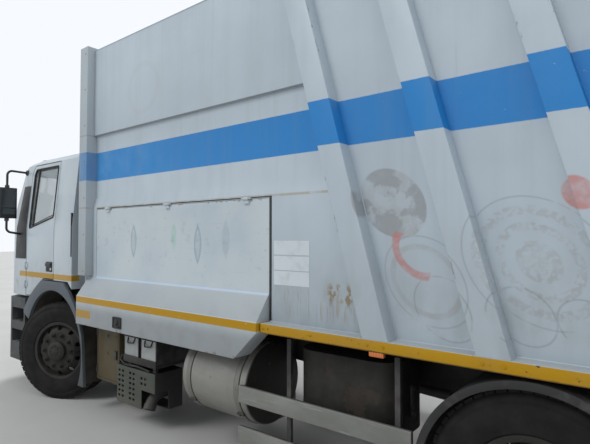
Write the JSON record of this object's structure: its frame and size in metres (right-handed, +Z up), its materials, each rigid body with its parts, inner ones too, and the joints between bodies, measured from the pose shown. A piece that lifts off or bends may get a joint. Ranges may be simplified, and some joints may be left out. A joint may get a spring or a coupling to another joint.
{
  "type": "side-loading refuse collection truck",
  "caption": "Two-axle cab-over refuse truck with a leaning-rib load body, side lifting arm, tipping rear door, service hatch, tilting cab and steered front wheels.",
  "frame": {"origin": "on the ground under the centre of the whole truck", "axes": "+X forward, +Y to the truck's left, +Z up"},
  "size_m": [8.2, 2.82, 3.6318],
  "materials": {
    "white_paint": "weathered gloss paint",
    "panel_paint": "weathered gloss paint",
    "yellow_paint": "chipped gloss paint",
    "chassis_paint": "satin, dusty",
    "wheel_paint": "dusty matt",
    "tyre_rubber": "worn, dusty",
    "dark_plastic": "satin",
    "mudguard_plastic": "faded satin",
    "window_glass": "clear, slightly tinted",
    "tank_paint": "dusty satin",
    "guard_paint": "dull",
    "locker_paint": "dusty matt",
    "step_paint": "dusty matt",
    "battery_case": "satin",
    "cast_metal": "oily",
    "ram_steel": "polished",
    "seat_fabric": "woven",
    "lamp_lens": "clear gloss"
  },
  "bodies": {
    "chassis": {"chassis_frame": "chassis_paint", "cross_members": "chassis_paint", "leaf_springs": "chassis_paint", "front_axle": "cast_metal", "rear_axle": "cast_metal", "engine_block": "cast_metal", "gearbox_and_shaft": "cast_metal", "fuel_tank": "tank_paint", "battery_tray": "chassis_paint", "batteries": "battery_case", "step_box": "step_paint", "locker": "locker_paint", "silencer": "cast_metal", "air_tanks": "chassis_paint", "side_guards": "guard_paint", "rear_mudguards": "dark_plastic", "front_mudguards": "mudguard_plastic", "subframe": "chassis_paint", "cross_bearers": "chassis_paint", "oil_tank": "chassis_paint", "air_intake": "dark_plastic", "body_floor": "yellow_paint", "body_side_left": "white_paint", "body_side_right": "white_paint", "body_front": "white_paint", "body_roof": "white_paint", "hopper": "white_paint", "front_bumper": "dark_plastic", "rear_bumper": "chassis_paint", "lamps": "lamp_lens"},
    "cab": {"cab_shell": "white_paint", "cab_glass": "window_glass", "cab_trim": "dark_plastic", "dashboard": "dark_plastic", "seats": "seat_fabric", "steering_wheel": "dark_plastic", "mirrors": "dark_plastic"},
    "door_left": {"door_left": "white_paint", "door_glass_left": "window_glass"},
    "door_right": {"door_right": "white_paint", "door_glass_right": "window_glass"},
    "service_hatch": {"service_hatch": "panel_paint"},
    "rear_door": {"rear_door": "white_paint"},
    "rear_ram_barrels": {"rear_ram_barrels": "chassis_paint"},
    "rear_ram_rods": {"rear_ram_rods": "ram_steel"},
    "lifter_arm": {"lifter_arm": "yellow_paint"},
    "lifter_ram_barrel": {"lifter_ram_barrel": "chassis_paint"},
    "lifter_ram_rod": {"lifter_ram_rod": "ram_steel"},
    "knuckle_left": {"knuckle_left": "cast_metal"},
    "knuckle_right": {"knuckle_right": "cast_metal"},
    "front_wheel_left": {"front_wheel_left": "wheel_paint", "front_tyre_left": "tyre_rubber"},
    "front_wheel_right": {"front_wheel_right": "wheel_paint", "front_tyre_right": "tyre_rubber"},
    "rear_wheels_left": {"rear_wheels_left": "wheel_paint", "rear_tyres_left": "tyre_rubber"},
    "rear_wheels_right": {"rear_wheels_right": "wheel_paint", "rear_tyres_right": "tyre_rubber"}
  },
  "joints": [
    {"name": "steer_left", "type": "hinge", "parent": "chassis", "child": "knuckle_left", "pos_m": [2.82, 0.9, 0.515], "axis": [0, 0, 1], "range_deg": [-58, 15]},
    {"name": "steer_right", "type": "hinge", "parent": "chassis", "child": "knuckle_right", "pos_m": [2.82, -0.9, 0.515], "axis": [0, 0, 1], "range_deg": [-58, 15]},
    {"name": "cab_tilt", "type": "hinge", "parent": "chassis", "child": "cab", "pos_m": [4.03, 0, 1.022], "axis": [0, 1, 0], "range_deg": [0, 50]},
    {"name": "door_left_swing", "type": "hinge", "parent": "cab", "child": "door_left", "pos_m": [3.536, 1.152, 1.3], "axis": [0, 0, -1], "range_deg": [0, 70]},
    {"name": "door_right_swing", "type": "hinge", "parent": "cab", "child": "door_right", "pos_m": [3.536, -1.152, 1.3], "axis": [0, 0, 1], "range_deg": [0, 70]},
    {"name": "hatch_lift", "type": "hinge", "parent": "chassis", "child": "service_hatch", "pos_m": [0.801, 1.158, 2.01], "axis": [1, 0, 0], "range_deg": [0, 80]},
    {"name": "rear_door_lift", "type": "hinge", "parent": "chassis", "child": "rear_door", "pos_m": [-3.26324, 0, 3.6], "axis": [0, 1, 0], "range_deg": [0, 85]},
    {"name": "rear_ram_swing", "type": "hinge", "parent": "chassis", "child": "rear_ram_barrels", "pos_m": [-3.48556, 0, 1.95031], "axis": [0, 1, 0], "range_deg": [-30, 10]},
    {"name": "rear_ram_stroke", "type": "slide", "parent": "rear_ram_barrels", "child": "rear_ram_rods", "axis": [0.0691, 0, 0.9976], "range_m": [0, 0.5592]},
    {"name": "lifter_swing", "type": "hinge", "parent": "chassis", "child": "lifter_arm", "pos_m": [0.8, -0.98, 2.2], "axis": [-1, 0, 0], "range_deg": [0, 150]},
    {"name": "lifter_ram_swing", "type": "hinge", "parent": "chassis", "child": "lifter_ram_barrel", "pos_m": [0.8, -0.79, 1.33], "axis": [1, 0, 0], "range_deg": [-5, 20]},
    {"name": "lifter_ram_stroke", "type": "slide", "parent": "lifter_ram_barrel", "child": "lifter_ram_rod", "axis": [0, -0.2264, 0.974], "range_m": [0, 0.329]},
    {"name": "front_wheel_left_roll", "type": "hinge", "parent": "knuckle_left", "child": "front_wheel_left", "pos_m": [2.82, 0.9, 0.515], "axis": [-0.4226, 0.9063, 0], "continuous": true},
    {"name": "rear_wheels_left_roll", "type": "hinge", "parent": "chassis", "child": "rear_wheels_left", "pos_m": [-1.995, 0.9, 0.515], "axis": [0, 1, 0], "continuous": true},
    {"name": "front_wheel_right_roll", "type": "hinge", "parent": "knuckle_right", "child": "front_wheel_right", "pos_m": [2.82, -0.9, 0.515], "axis": [-0.3746, 0.9272, 0], "continuous": true},
    {"name": "rear_wheels_right_roll", "type": "hinge", "parent": "chassis", "child": "rear_wheels_right", "pos_m": [-1.995, -0.9, 0.515], "axis": [0, 1, 0], "continuous": true}
  ],
  "couplings": [
    {"joint": "steer_right", "follows": "steer_left", "ratio": 1},
    {"joint": "rear_ram_swing", "follows": "rear_door_lift", "ratio": -0.12973},
    {"joint": "rear_ram_stroke", "follows": "rear_door_lift", "m_per_rad": 0.36347},
    {"joint": "lifter_ram_swing", "follows": "lifter_swing", "ratio": 0.02158},
    {"joint": "lifter_ram_stroke", "follows": "lifter_swing", "m_per_rad": 0.11802}
  ]
}
